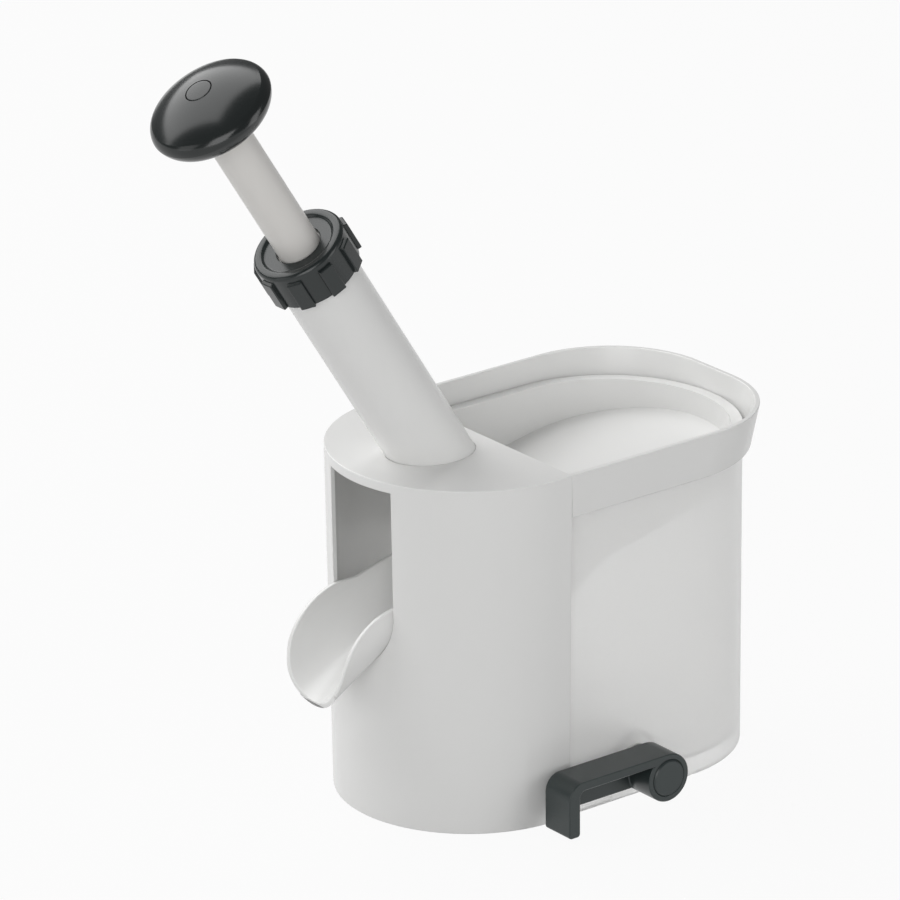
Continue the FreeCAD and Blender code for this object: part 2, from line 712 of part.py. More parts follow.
def wall_prism(name, corners):
    """A solid with a side outline in X and Z, wide enough to span the whole body."""
    body = doc.addObject("PartDesign::Body", name)
    padded(body, name + "_pad", "XZ_Plane", corners, S["body_radius"] * 3.0, midplane=True)
    return body


def seat_middle():
    return (S["axis_place"] + TILT_SINE * S["seat_depth"],
            S["deck_height"] - TILT_COSINE * S["seat_depth"])


def floor_line(lift):
    """The hopper floor seen from the side: left end, kink past the seat, far end."""
    slope = TILT_SINE / TILT_COSINE
    middle_x, middle_z = seat_middle()
    reach = S["seat_radius"] + S["seat_wall"] + S["seat_margin"]
    left = middle_x - TILT_COSINE * reach
    kink = middle_x + TILT_COSINE * reach
    end = S["body_half"] + S["body_radius"] * 1.2
    left_z = middle_z - TILT_COSINE * reach * slope + lift
    kink_z = middle_z + TILT_COSINE * reach * slope + lift
    return (left, left_z), (kink, kink_z), (end, kink_z + S["tub_rise"])


def make_hopper_tub():
    outer = CONTAINER_RADIUS - S["container_wall"] - S["loose"]
    inner = outer - S["tub_wall"]
    rim = CONTAINER_TOP + S["loose"]
    ledge = CONTAINER_RADIUS + S["seated"]
    plate = S["tub_wall"] * S["floor_share"]
    left, kink, end = floor_line(ZERO)
    low = floor_line(-plate)
    above_floor = wall_prism("above_floor", (
        left, kink, end, (end[0], UNDER_DECK * 1.2), (left[0], UNDER_DECK * 1.2)))
    above_underside = wall_prism("above_underside", (
        low[0], low[1], low[2], (end[0], UNDER_DECK * 1.2), (left[0], UNDER_DECK * 1.2)))
    wall = stadium("tub_side", outer, ZERO, rim)
    flange = stadium("tub_flange", ledge, rim, S["tub_wall"])
    flange_keep = box("flange_keep", S["seam_place"], -S["body_radius"] * 1.5, ZERO,
                      S["body_radius"] * 3.0, S["body_radius"] * 3.0, S["deck_height"])
    gate_plate = box("gate_plate", S["seam_place"] - S["tub_wall"], -outer, ZERO,
                     S["tub_wall"], outer * 2.0, UNDER_DECK)
    block = common("tub_block", fuse("tub_outer", wall, common("tub_rim", flange, flange_keep)),
                   above_underside)
    well = common("tub_well", stadium("tub_inner", inner, ZERO, S["deck_height"]), above_floor)
    seam = S["seam_place"]
    side = S["gate_half"] + S["tub_wall"]
    left_room = box("left_room", left[0] - FAR, -S["gate_half"], ZERO,
                    seam - left[0] + FAR + S["tub_wall"], S["gate_half"] * 2.0,
                    UNDER_DECK - S["gate_top"])
    side_trim = box("side_trim", left[0] - FAR, -FAR, ZERO, seam - left[0] + FAR - S["tub_wall"],
                    FAR * 2.0, S["deck_height"])
    chute_room = box("chute_room", left[0] - FAR, -side, ZERO, FAR * 2.0, side * 2.0,
                     UNDER_DECK - S["cheek_top"])
    cheek = common("cheeks", chute_room, side_trim, above_underside)
    cheek_walls = cut("cheek_walls", cheek, common(
        "cheek_well", box("cheek_inside", left[0] - FAR, -S["gate_half"], ZERO, FAR * 2.0,
                          S["gate_half"] * 2.0, S["deck_height"]),
        above_floor))
    basin = cut("tub_basin", block, well, side_trim)
    gate = cut("tub_gate", common("tub_gate_plate", gate_plate, above_underside), left_room)
    boss = on_plunger(cylinder("seat_boss", S["seat_radius"] + S["seat_wall"], S["seat_boss"]))
    recess = on_plunger(cylinder("seat_recess", S["seat_radius"] + S["seated"], S["seat_depth"]))
    bore = on_plunger(cylinder("stone_bore", S["seat_bore"] + S["seat_ledge"], S["seat_depth"]))
    for thing, depth in ((boss, S["seat_depth"] + S["seat_boss"]),
                         (recess, S["seat_depth"] + S["seat_height"]),
                         (bore, S["seat_depth"] * 1.5)):
        bind(thing, "Placement.Base.x", S["axis_place"] + TILT_SINE * depth)
        bind(thing, "Placement.Base.z", S["deck_height"] - TILT_COSINE * depth)
    body = fuse("tub_body", basin, gate, cheek_walls, boss)
    return cut("hopper_tub", body, recess, bore)


def make_stone_container():
    """Clear box with a raised floor over the suction pad and a tunnel for the lever shaft."""
    wall = S["container_wall"]
    outer = CONTAINER_RADIUS
    neck = CONTAINER_NECK
    floor = S["floor_height"]
    wide = S["body_radius"] * 4.0
    start = S["seam_place"] + S["loose"]
    main_keep = box("main_keep", start, -wide / 2.0, ZERO, wide, wide, wide)
    neck_keep = box("neck_keep", S["container_left"], -wide / 2.0, ZERO,
                    wide, wide, S["container_dip"])
    main_in = box("main_inner_keep", start - wall, -wide / 2.0, ZERO, wide, wide, wide)
    neck_in = box("neck_inner_keep", S["container_left"] + wall, -wide / 2.0, ZERO, wide, wide, wide)
    height = CONTAINER_TOP
    body = fuse("container_outer",
                common("main_outer", stadium("main_plan", outer, ZERO, height), main_keep),
                common("neck_outer", stadium("neck_plan", neck, ZERO, height), neck_keep))
    room = fuse("container_inner",
                common("main_room", stadium("room_plan", outer - wall, floor + wall, height), main_in),
                common("neck_room", stadium("neck_room_plan", neck - wall, floor + wall, height),
                       neck_in))
    under = common("container_under", stadium("under_plan", neck - wall, -wall, floor + wall),
                   neck_in)
    shaft_x = S["shaft_place"]
    shaft_z = S["shaft_height"]
    tunnel = S["tunnel_radius"]
    top = S["dome_top"]
    dome = cone("dome_outer", S["dome_foot"], S["dome_crown"], top - floor, shaft_x, 0.0, floor)
    dome_in = cone("dome_inner", S["dome_foot"] - wall, S["dome_crown"] - wall,
                   top, shaft_x, 0.0, -wall)
    ridge = cylinder("ridge_round", tunnel, outer - wall / 2.0, shaft_x, -outer + wall / 2.0,
                     shaft_z, "y")
    ridge_foot = box("ridge_foot", shaft_x - tunnel, -outer + wall / 2.0, floor,
                     tunnel * 2.0, outer - wall / 2.0, shaft_z - floor)
    ridge_in = cylinder("ridge_room", tunnel - wall, outer - wall, shaft_x, -outer + wall,
                        shaft_z, "y")
    ridge_under = box("ridge_under", shaft_x - tunnel + wall, -outer + wall, -wall,
                      (tunnel - wall) * 2.0, outer - wall, shaft_z + wall)
    raised = cut("raised_floor", fuse("raised_outer", dome, ridge, ridge_foot),
                 fuse("raised_inner", dome_in, ridge_in, ridge_under))
    bearing_y = S["crank_half"] + S["bearing_gap"]
    bearing = box("bearing_plate", shaft_x - S["bearing_half"], bearing_y,
                  shaft_z - S["bearing_drop"], S["bearing_half"] * 2.0, S["bearing_sheet"],
                  top - wall / 2.0 - shaft_z + S["bearing_drop"])
    cleared = cut("container_open", body, room, under, fuse(
        "raised_cut", dome_in, ridge_in, ridge_under))
    joined = fuse("container_joined", cleared, raised, bearing)
    hole = cylinder("bearing_hole", S["shaft_radius"] + S["running"],
                    bearing_y + S["shaft_tail"], shaft_x, 0.0, shaft_z, "y")
    bush_hole = cylinder("bush_hole", bush_radius() + S["seated"], S["body_radius"],
                         shaft_x, -outer - wall, shaft_z, "y")
    return cut("stone_container", joined, hole, bush_hole)


def shaft_piece(thing):
    """Turn a piece from upright to the lever shaft's axis, its zero on the body's middle plane."""
    thing.Placement = FreeCAD.Placement(Vector(), FreeCAD.Rotation(Vector(1, 0, 0), 90.0))
    bind(thing, "Placement.Base.x", S["shaft_place"])
    bind(thing, "Placement.Base.z", S["shaft_height"])
    return thing


def bush_radius():
    return S["shaft_radius"] + S["running"] + S["bush_wall"]


def make_shaft_bush():
    front = CONTAINER_RADIUS + S["seated"]
    inner = S["shaft_radius"] + S["running"]
    outer = bush_radius()
    flange = outer + S["bush_flange"]
    back = front - S["container_wall"] - S["bush_tail"]
    face = front + S["bush_face"]
    return shaft_piece(turned("shaft_bush", (
        (inner, back), (outer, back), (outer, front), (flange, front), (flange, face),
        (inner, face))))


def make_lever_shaft():
    """Steel shaft with a crank pin under the raised floor, and flats where the lever grips it."""
    radius = S["shaft_radius"]
    half = S["crank_half"]
    end = LEVER_FRONT - S["cap_sheet"] - S["shaft_short"]
    main = cylinder("shaft_main", radius, end - half, ZERO, ZERO, half)
    tail = cylinder("shaft_end", radius, S["shaft_tail"], ZERO, ZERO, -(half + S["shaft_tail"]))
    pin = cylinder("crank_pin", S["crank_radius"], half * 2.0 + S["crank_throw"], ZERO,
                   S["crank_throw"], -half - S["crank_throw"] / 2.0)
    width = S["clip_sheet"] + S["seated"] * 2.0
    groove = cut("clip_groove",
                 cylinder("groove_out", radius * 1.5, width, ZERO, ZERO, clip_place()),
                 cylinder("groove_in", radius - S["clip_depth"], width, ZERO, ZERO, clip_place()))
    return shaft_piece(cut("lever_shaft", fuse("shaft_solid", main, tail, pin), groove))


def clip_place():
    """Back of the clip's groove. The clip sits just behind the bush."""
    bush_back = CONTAINER_RADIUS - S["container_wall"] - S["bush_tail"]
    return bush_back - S["clip_sheet"] - S["loose"] * 2.0


def make_shaft_clip():
    """Open ring snapped into the shaft's groove behind the bush."""
    inner = S["shaft_radius"] - S["clip_depth"] + S["seated"]
    outer = inner + S["clip_width"]
    low = clip_place() + S["seated"]
    high = low + S["clip_sheet"]
    ring = turned("clip_ring", ((inner, low), (outer, low), (outer, high), (inner, high)))
    mouth = box("clip_mouth", -(inner * 0.75), -outer * 1.5, clip_place(), inner * 1.5,
                outer * 1.5, S["clip_sheet"] * 2.0)
    return shaft_piece(cut("shaft_clip", ring, mouth))


def make_lever():
    """Cast arm with a boss on the shaft, a back web and a hooked finger end."""
    body = doc.addObject("PartDesign::Body", "lever_arm")
    zero = S["shaft_height"]
    reach = -(S["arm_reach"] + S["shaft_place"])
    top = S["boss_radius"]
    inner = reach + S["hook_sheet"]
    foot = S["hook_foot"] - zero
    turn = S["hook_round"]
    under = top - S["arm_sheet"]
    bend = S["hook_inner"]
    edge = S["hook_edge"]
    arm = padded(body, "arm_strip", "XY_Plane", (
        (ZERO, top), (reach + turn, top, turn, -1), (reach, top - turn),
        (reach, foot + edge, edge, -1), (reach + edge, foot), (inner - edge, foot, edge, -1),
        (inner, foot + edge), (inner, under - bend, bend, 1), (inner + bend, under),
        (ZERO, under)), S["lever_depth"])
    bind(arm, "Length", S["lever_depth"])
    shift_to(body, LEVER_BACK)
    start = inner - S["hook_sheet"] / 4.0
    low = S["web_foot"] - zero
    web = box("lever_web", start, low, LEVER_BACK, -start, top - S["web_inset"] - low,
              S["web_sheet"])
    boss = cylinder("lever_boss", top, S["lever_depth"], ZERO, ZERO, LEVER_BACK)
    neck_foot = CONTAINER_RADIUS + S["seated"] + S["bush_face"] + S["loose"]
    neck = cylinder("lever_neck", S["neck_radius"], LEVER_BACK - neck_foot + S["web_sheet"],
                    ZERO, ZERO, neck_foot)
    socket = cylinder("cap_socket", S["cap_radius"] + S["seated"], S["cap_sheet"] * 2.0, ZERO,
                      ZERO, LEVER_FRONT - S["cap_sheet"])
    bore = cylinder("lever_bore", S["shaft_radius"] + S["seated"], LEVER_FRONT, ZERO, ZERO, ZERO)
    return shaft_piece(cut("lever", fuse("lever_solid", body, web, boss, neck), socket, bore))


def shift_to(body, depth):
    bind(body, "Placement.Base.z", depth)


def make_lever_cap():
    low = LEVER_FRONT - S["cap_sheet"] + S["seated"]
    high = LEVER_FRONT + S["cap_proud"]
    bevel = S["cap_edge"]
    return shaft_piece(turned("lever_cap", (
        (ZERO, low), (S["cap_radius"], low), (S["cap_radius"], high - bevel),
        (S["cap_radius"] - bevel, high), (ZERO, high))))


def make_suction_stem():
    """Post with an eye round the crank pin and a button held in the suction pad."""
    radius = S["stem_radius"]
    low = S["pad_height"]
    post = cylinder("stem_post", radius, S["stem_top"] - low, S["shaft_place"], 0.0, low)
    slack = S["crank_radius"] + S["running"]
    eye = box("stem_eye", S["shaft_place"] - S["crank_throw"] - slack, -radius * 2.0,
              S["shaft_height"] + S["crank_throw"] - slack, (S["crank_throw"] + slack) * 2.0,
              radius * 4.0, slack * 2.0 + S["crank_play"])
    flat = S["crank_half"] - S["stem_flat"]
    start = S["shaft_place"] - radius * 3.0
    front = box("stem_side_front", start, -radius * 3.0, low, radius * 6.0, radius * 3.0 - flat,
                S["stem_top"])
    back = box("stem_side_back", start, flat, low, radius * 6.0, radius * 3.0, S["stem_top"])
    return cut("suction_stem", post, eye, front, back)


def make_suction_pad():
    """Soft cup, drawn up in the middle as when it grips."""
    lip = S["pad_lip"]
    radius = S["pad_radius"]
    hub = S["stem_radius"] + S["pad_hub"]
    top = S["pad_height"]
    roof = top - S["pad_sheet"]
    pad = turned("suction_pad", (
        (radius, ZERO), (radius, lip), (hub, top), (ZERO, top), (ZERO, roof),
        (S["stem_radius"], roof), (radius - S["pad_hollow"], ZERO)))
    return place(pad, S["shaft_place"], 0.0, 0.0)


def trough(start, end, radius, rise):
    """Half round trough with straight sides, along a sloping line in the middle plane."""
    along = end - start
    length = along.Length
    direction = Vector(along).normalize()
    up = Vector(-direction.z, 0, direction.x)
    if up.z < 0:
        up = up * -1.0
    side = Vector(0, 1, 0)
    low_left = start + up * radius - side * radius
    low_right = start + up * radius + side * radius
    lift = up * rise
    edges = [
        Part.Arc(low_left, start, low_right).toShape(),
        Part.LineSegment(low_right, low_right + lift).toShape(),
        Part.LineSegment(low_right + lift, low_left + lift).toShape(),
        Part.LineSegment(low_left + lift, low_left).toShape(),
    ]
    return Part.Face(Part.Wire(edges)).extrude(direction * length)


def side_face(points):
    """A face in the middle plane, spread sideways into a solid wider than the body."""
    reach = S["body_radius"].value * 2.0
    loop = points + [points[0]]
    wire = Part.makePolygon([Vector(x, -reach, z) for x, z in loop])
    return Part.Face(wire).extrude(Vector(0, reach * 2.0, 0))


def chute_form(radius, deepen, rise):
    """The trough's two sloping stretches as one filled solid, met in a mitre."""
    turn = Vector(S["chute_turn_inset"].value - BODY_END.value, 0,
                  S["deck_height"].value - S["chute_turn_drop"].value)
    gentle = math.radians(S["chute_inner_slope"].value)
    steep = math.radians(S["chute_outer_slope"].value)
    far = S["body_radius"].value * 4.0
    up_inner = Vector(1, 0, math.tan(gentle)).normalize()
    down_outer = Vector(-1, 0, -math.tan(steep)).normalize()
    bisect = (gentle + steep) / 2.0
    across = Vector(-math.sin(bisect), 0, math.cos(bisect)) * far
    crest = turn + across
    root = turn - across
    inside = side_face([(root.x, root.z), (crest.x, crest.z), (crest.x + far, crest.z),
                        (crest.x + far, root.z)])
    outside = side_face([(root.x, root.z), (crest.x, crest.z), (root.x - far, crest.z),
                         (root.x - far, root.z)])
    drop_inner = Vector(math.sin(gentle), 0, -math.cos(gentle)) * deepen
    drop_outer = Vector(math.sin(steep), 0, -math.cos(steep)) * deepen
    reach = S["body_radius"].value
    inner_run = trough(turn + drop_inner + up_inner * reach * 1.4,
                       turn + drop_inner - up_inner * reach, radius, rise).common(inside)
    outer_run = trough(turn + drop_outer - down_outer * reach, turn + drop_outer + down_outer * reach,
                       radius, rise).common(outside)
    return inner_run.fuse(outer_run)


def chute_outer():
    return S["slot_half"].value - S["running"].value * 2.0


def make_chute():
    """Open trough from the seat through the slot, with a rounded spout."""
    wall = S["chute_wall"].value
    rise = S["deck_height"].value / 2.0
    skin = chute_form(chute_outer(), wall, rise)
    room = chute_form(chute_outer() - wall, 0.0, rise * 1.2)
    (left, left_z), _, _ = floor_line(ZERO)
    head = left.value - S["seated"].value * 8.0
    return part_feature("chute", skin.cut(room).common(chute_side(head, left_z.value))
                        .removeSplitter())


def bulged(start, end, bulge):
    """An arc from start to end that rises by bulge on the left of that way, seen from the front."""
    chord = end - start
    left = Vector(-chord.z, 0, chord.x).normalize()
    return Part.Arc(start, (start + end) * 0.5 + left * bulge, end).toShape()


def chute_side(head, head_height):
    """The chute seen from the side: level rims, a curved run down to the spout, an open head."""
    reach = S["body_radius"].value * 2.0
    rim = S["deck_height"].value - S["chute_rim_drop"].value
    tip = -(BODY_END.value + S["chute_reach"].value)
    jamb = S["jamb_inset"].value - BODY_END.value
    run = S["rim_run"].value
    head_top = head_height + S["head_rise"].value
    low = rim - S["chute_turn_drop"].value

    def at(x, z):
        return Vector(x, -reach, z)

    nose = at(tip, rim - S["nose_drop"].value)
    foot = nose + Vector(S["nose_in"].value, 0, -S["nose_height"].value)
    edges = [
        Part.LineSegment(at(head, low), at(head, head_top)).toShape(),
        Part.LineSegment(at(head, head_top), at(jamb + run, rim)).toShape(),
        Part.LineSegment(at(jamb + run, rim), at(jamb, rim)).toShape(),
        bulged(nose, at(jamb, rim), S["rim_bulge"].value),
        bulged(foot, nose, S["nose_bulge"].value),
        Part.LineSegment(foot, at(foot.x, low)).toShape(),
        Part.LineSegment(at(foot.x, low), at(head, low)).toShape(),
    ]
    return Part.Face(Part.Wire(Part.__sortEdges__(edges))).extrude(Vector(0, reach * 2.0, 0))


MAKERS = (
    make_stone_container, make_housing_shell, make_hopper_tub, make_chute, make_guide_tube,
    make_collar_nut, make_wiper_ring, make_guide_bush, make_stripper_ring, make_seat_ring,
    make_plunger_rod, make_spring_collar, make_return_spring, make_blade_holder,
    make_pitting_blade, make_knob, make_knob_plug, make_lever, make_lever_cap, make_lever_shaft,
    make_shaft_bush, make_shaft_clip, make_suction_stem, make_suction_pad,
)


def main():
    pieces = {}
    for maker in MAKERS:
        name = maker.__name__.replace("make_", "")
        piece = maker()
        piece.Label = name
        pieces[name] = piece
    doc.recompute()
    for thing in doc.Objects:
        if "Invalid" in thing.State or "Error" in thing.State:
            raise RuntimeError("failed: " + thing.Name)
    os.makedirs("parts", exist_ok=True)
    for name, piece in pieces.items():
        shape = piece.Shape
        if shape.isNull() or not shape.isValid():
            raise RuntimeError("bad shape: " + name)
        low = shape.optimalBoundingBox(True, False)
        print("%-16s %8.0f mm3  solids %d  x %.1f %.1f  y %.1f %.1f  z %.1f %.1f" % (
            name, shape.Volume, len(shape.Solids), low.XMin, low.XMax, low.YMin, low.YMax,
            low.ZMin, low.ZMax))
        shape.exportStep("parts/" + name + ".step")


main()
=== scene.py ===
"""Looks of a hand cherry pitter: white mouldings, frosted stone container, black knob, nut and lever."""
import json
import math

import bmesh
import bpy
from mathutils import Matrix, Vector


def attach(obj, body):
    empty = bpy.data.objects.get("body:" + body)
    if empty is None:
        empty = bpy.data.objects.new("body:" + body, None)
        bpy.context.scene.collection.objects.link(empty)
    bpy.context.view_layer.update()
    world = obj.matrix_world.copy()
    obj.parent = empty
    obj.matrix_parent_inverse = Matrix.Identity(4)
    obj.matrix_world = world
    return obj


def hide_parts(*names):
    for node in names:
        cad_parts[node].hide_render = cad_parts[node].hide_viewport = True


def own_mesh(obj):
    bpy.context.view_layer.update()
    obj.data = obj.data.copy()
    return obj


MM = 0.001
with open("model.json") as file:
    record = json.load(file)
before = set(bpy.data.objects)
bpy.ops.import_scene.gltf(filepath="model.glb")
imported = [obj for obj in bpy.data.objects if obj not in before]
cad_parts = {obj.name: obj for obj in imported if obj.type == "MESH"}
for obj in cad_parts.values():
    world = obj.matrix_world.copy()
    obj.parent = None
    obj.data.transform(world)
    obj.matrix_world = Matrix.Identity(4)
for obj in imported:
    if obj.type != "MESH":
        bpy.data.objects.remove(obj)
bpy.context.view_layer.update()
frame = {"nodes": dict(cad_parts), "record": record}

# Measures repeated from the part's source, in millimetres
AXIS_X = -47.5
DECK_Z = 127.3
TILT = math.radians(32.3)
PLUNGER = (Matrix.Translation(Vector((AXIS_X, 0.0, DECK_Z)) * MM)
           @ Matrix.Rotation(-TILT, 4, "Y") @ Matrix.Scale(MM, 4))
UPRIGHT = Matrix.Scale(MM, 4)


# Node helpers

def new_material(name):
    material = bpy.data.materials.new(name)
    material.use_nodes = True
    nodes = material.node_tree.nodes
    nodes.clear()
    output = nodes.new("ShaderNodeOutputMaterial")
    shader = nodes.new("ShaderNodeBsdfPrincipled")
    material.node_tree.links.new(shader.outputs["BSDF"], output.inputs["Surface"])
    return material, nodes, material.node_tree.links, shader


def group_socket(group, name, kind, in_out, default=None):
    socket = group.interface.new_socket(name=name, in_out=in_out, socket_type=kind)
    if default is not None:
        socket.default_value = default
    return socket


def build_moulded_skin():
    """Faint clouding of colour and gloss and a fine orange-peel bump, as moulded plastic has."""
    group = bpy.data.node_groups.new("moulded_skin", "ShaderNodeTree")
    group_socket(group, "Colour", "NodeSocketColor", "INPUT", (0.8, 0.8, 0.8, 1.0))
    group_socket(group, "Cloud", "NodeSocketFloat", "INPUT", 0.04)
    group_socket(group, "Gloss", "NodeSocketFloat", "INPUT", 0.3)
    group_socket(group, "Gloss Drift", "NodeSocketFloat", "INPUT", 0.06)
    group_socket(group, "Peel Size", "NodeSocketFloat", "INPUT", 900.0)
    group_socket(group, "Peel", "NodeSocketFloat", "INPUT", 0.02)
    group_socket(group, "Scuff", "NodeSocketFloat", "INPUT", 0.02)
    group_socket(group, "Colour", "NodeSocketColor", "OUTPUT")
    group_socket(group, "Roughness", "NodeSocketFloat", "OUTPUT")
    group_socket(group, "Height", "NodeSocketFloat", "OUTPUT")
    nodes = group.nodes
    links = group.links
    start = nodes.new("NodeGroupInput")
    end = nodes.new("NodeGroupOutput")
    place = nodes.new("ShaderNodeTexCoord")

    cloud = nodes.new("ShaderNodeTexNoise")
    cloud.inputs["Scale"].default_value = 22.0
    cloud.inputs["Detail"].default_value = 3.0
    links.new(place.outputs["Object"], cloud.inputs["Vector"])
    shade = nodes.new("ShaderNodeMapRange")
    shade.inputs["To Min"].default_value = -1.0
    links.new(cloud.outputs["Fac"], shade.inputs["Value"])
    amount = nodes.new("ShaderNodeMath")
    amount.operation = "MULTIPLY"
    links.new(shade.outputs["Result"], amount.inputs[0])
    links.new(start.outputs["Cloud"], amount.inputs[1])
    lift = nodes.new("ShaderNodeMath")
    lift.operation = "ADD"
    lift.inputs[1].default_value = 1.0
    links.new(amount.outputs[0], lift.inputs[0])
    tint = nodes.new("ShaderNodeVectorMath")
    tint.operation = "SCALE"
    links.new(start.outputs["Colour"], tint.inputs[0])
    links.new(lift.outputs[0], tint.inputs["Scale"])

    scratch = nodes.new("ShaderNodeTexNoise")
    scratch.inputs["Scale"].default_value = 60.0
    scratch.inputs["Detail"].default_value = 8.0
    scratch.inputs["Distortion"].default_value = 1.6
    links.new(place.outputs["Object"], scratch.inputs["Vector"])
    band = nodes.new("ShaderNodeMapRange")
    band.inputs["From Min"].default_value = 0.56
    band.inputs["From Max"].default_value = 0.72
    links.new(scratch.outputs["Fac"], band.inputs["Value"])
    scuff = nodes.new("ShaderNodeMath")
    scuff.operation = "MULTIPLY"
    links.new(band.outputs["Result"], scuff.inputs[0])
    links.new(start.outputs["Scuff"], scuff.inputs[1])
    mark = nodes.new("ShaderNodeMixRGB")
    mark.blend_type = "MIX"
    mark.inputs["Color2"].default_value = (0.55, 0.55, 0.53, 1.0)
    links.new(scuff.outputs[0], mark.inputs["Fac"])
    links.new(tint.outputs["Vector"], mark.inputs["Color1"])
    links.new(mark.outputs["Color"], end.inputs["Colour"])

    drift = nodes.new("ShaderNodeMath")
    drift.operation = "MULTIPLY_ADD"
    links.new(shade.outputs["Result"], drift.inputs[0])
    links.new(start.outputs["Gloss Drift"], drift.inputs[1])
    links.new(start.outputs["Gloss"], drift.inputs[2])
    dull = nodes.new("ShaderNodeMath")
    dull.operation = "ADD"
    links.new(drift.outputs[0], dull.inputs[0])
    links.new(scuff.outputs[0], dull.inputs[1])
    links.new(dull.outputs[0], end.inputs["Roughness"])

    peel = nodes.new("ShaderNodeTexNoise")
    peel.inputs["Detail"].default_value = 2.0
    links.new(place.outputs["Object"], peel.inputs["Vector"])
    links.new(start.outputs["Peel Size"], peel.inputs["Scale"])
    height = nodes.new("ShaderNodeMath")
    height.operation = "MULTIPLY"
    links.new(peel.outputs["Fac"], height.inputs[0])
    links.new(start.outputs["Peel"], height.inputs[1])
    links.new(height.outputs[0], end.inputs["Height"])
    return group


MOULDED_SKIN = build_moulded_skin()


def plastic(name, colour, gloss, peel=0.02, peel_size=900.0, cloud=0.03, drift=0.05, scuff=0.02,
            coat=0.0, sheen_through=0.0, glow=0.0):
    material, nodes, links, shader = new_material(name)
    skin = nodes.new("ShaderNodeGroup")
    skin.node_tree = MOULDED_SKIN
    skin.inputs["Colour"].default_value = (*colour, 1.0)
    skin.inputs["Cloud"].default_value = cloud
    skin.inputs["Gloss"].default_value = gloss
    skin.inputs["Gloss Drift"].default_value = drift
    skin.inputs["Peel Size"].default_value = peel_size
    skin.inputs["Peel"].default_value = peel
    skin.inputs["Scuff"].default_value = scuff
    bump = nodes.new("ShaderNodeBump")
    bump.inputs["Strength"].default_value = 0.35
    bump.inputs["Distance"].default_value = 0.001
    links.new(skin.outputs["Colour"], shader.inputs["Base Color"])
    links.new(skin.outputs["Roughness"], shader.inputs["Roughness"])
    links.new(skin.outputs["Height"], bump.inputs["Height"])
    links.new(bump.outputs["Normal"], shader.inputs["Normal"])
    shader.inputs["Coat Weight"].default_value = coat
    shader.inputs["Coat Roughness"].default_value = 0.08
    shader.inputs["IOR"].default_value = 1.49
    shader.inputs["Transmission Weight"].default_value = sheen_through
    # Emission (glow) is painted light: on the frosted container a faint even glow stands in for light
    # passing through its wall
    shader.inputs["Emission Color"].default_value = (1.0, 0.995, 0.985, 1.0)
    shader.inputs["Emission Strength"].default_value = glow
    return material


def steel(name, colour, gloss, brush_scale):
    """Brushed metal: streaks stretched along X."""
    material, nodes, links, shader = new_material(name)
    place = nodes.new("ShaderNodeTexCoord")
    stretch = nodes.new("ShaderNodeMapping")
    stretch.inputs["Scale"].default_value = brush_scale
    streak = nodes.new("ShaderNodeTexNoise")
    streak.inputs["Scale"].default_value = 120.0
    streak.inputs["Detail"].default_value = 5.0
    links.new(place.outputs["Object"], stretch.inputs["Vector"])
    links.new(stretch.outputs["Vector"], streak.inputs["Vector"])
    ramp = nodes.new("ShaderNodeMapRange")
    ramp.inputs["To Min"].default_value = gloss * 0.75
    ramp.inputs["To Max"].default_value = gloss * 1.35
    links.new(streak.outputs["Fac"], ramp.inputs["Value"])
    links.new(ramp.outputs["Result"], shader.inputs["Roughness"])
    bump = nodes.new("ShaderNodeBump")
    bump.inputs["Strength"].default_value = 0.12
    bump.inputs["Distance"].default_value = 0.0003
    links.new(streak.outputs["Fac"], bump.inputs["Height"])
    links.new(bump.outputs["Normal"], shader.inputs["Normal"])
    shader.inputs["Base Color"].default_value = (*colour, 1.0)
    shader.inputs["Metallic"].default_value = 1.0
    return material


WHITE = plastic("white_moulding", (0.81, 0.81, 0.80), 0.26, peel=0.015, cloud=0.006, drift=0.01,
                scuff=0.0)
ROD_WHITE = plastic("rod_white", (0.72, 0.705, 0.68), 0.34, peel=0.012, cloud=0.012, scuff=0.0)
BLACK = plastic("polished_black", (0.010, 0.013, 0.013), 0.19, peel=0.010, peel_size=1100.0,
                cloud=0.1, drift=0.02, scuff=0.0)
NUT_BLACK = plastic("nut_black", (0.013, 0.018, 0.018), 0.24, peel=0.02, cloud=0.1, scuff=0.0)
LEVER_DARK = plastic("lever_charcoal", (0.026, 0.036, 0.036), 0.36, peel=0.03, peel_size=1400.0,
                     cloud=0.08, scuff=0.0)
# glow: painted light, a faint even glow standing in for light shining through the frosted wall
FROSTED = plastic("frosted_clear", (0.90, 0.90, 0.895), 0.34, peel=0.02, cloud=0.01, scuff=0.0,
                  sheen_through=0.62, glow=0.05)
SOFT_RING = plastic("soft_ring", (0.78, 0.775, 0.75), 0.5, peel=0.03, cloud=0.02)
VINYL = plastic("suction_vinyl", (0.86, 0.88, 0.90), 0.25, peel=0.01, cloud=0.01,
                sheen_through=0.6)
GREY_PLASTIC = plastic("plain_moulding", (0.72, 0.72, 0.70), 0.42, peel=0.03)
SPRING_STEEL = steel("spring_wire", (0.62, 0.61, 0.59), 0.22, (1.0, 1.0, 6.0))
BLADE_STEEL = steel("blade_sheet", (0.66, 0.66, 0.65), 0.25, (1.0, 8.0, 8.0))
SHAFT_STEEL = steel("shaft_steel", (0.56, 0.56, 0.55), 0.3, (8.0, 1.0, 8.0))

FINISH = {
    "clear_plastic": FROSTED, "white_plastic": WHITE, "rod_plastic": ROD_WHITE,
    "black_plastic": BLACK, "lever_plastic": LEVER_DARK, "grey_plastic": GREY_PLASTIC,
    "soft_ring": SOFT_RING, "suction_rubber": VINYL, "spring_steel": SPRING_STEEL,
    "shaft_steel": SHAFT_STEEL, "blade_steel": BLADE_STEEL,
}
SLOT_OF = {row["node"]: row["material_slot"] for row in frame["record"]["subparts"]}

# Weld and shading limits: metres, and the least angle of an edge that stays sharp
WELD = 1e-6
SHARP = math.radians(34.0)


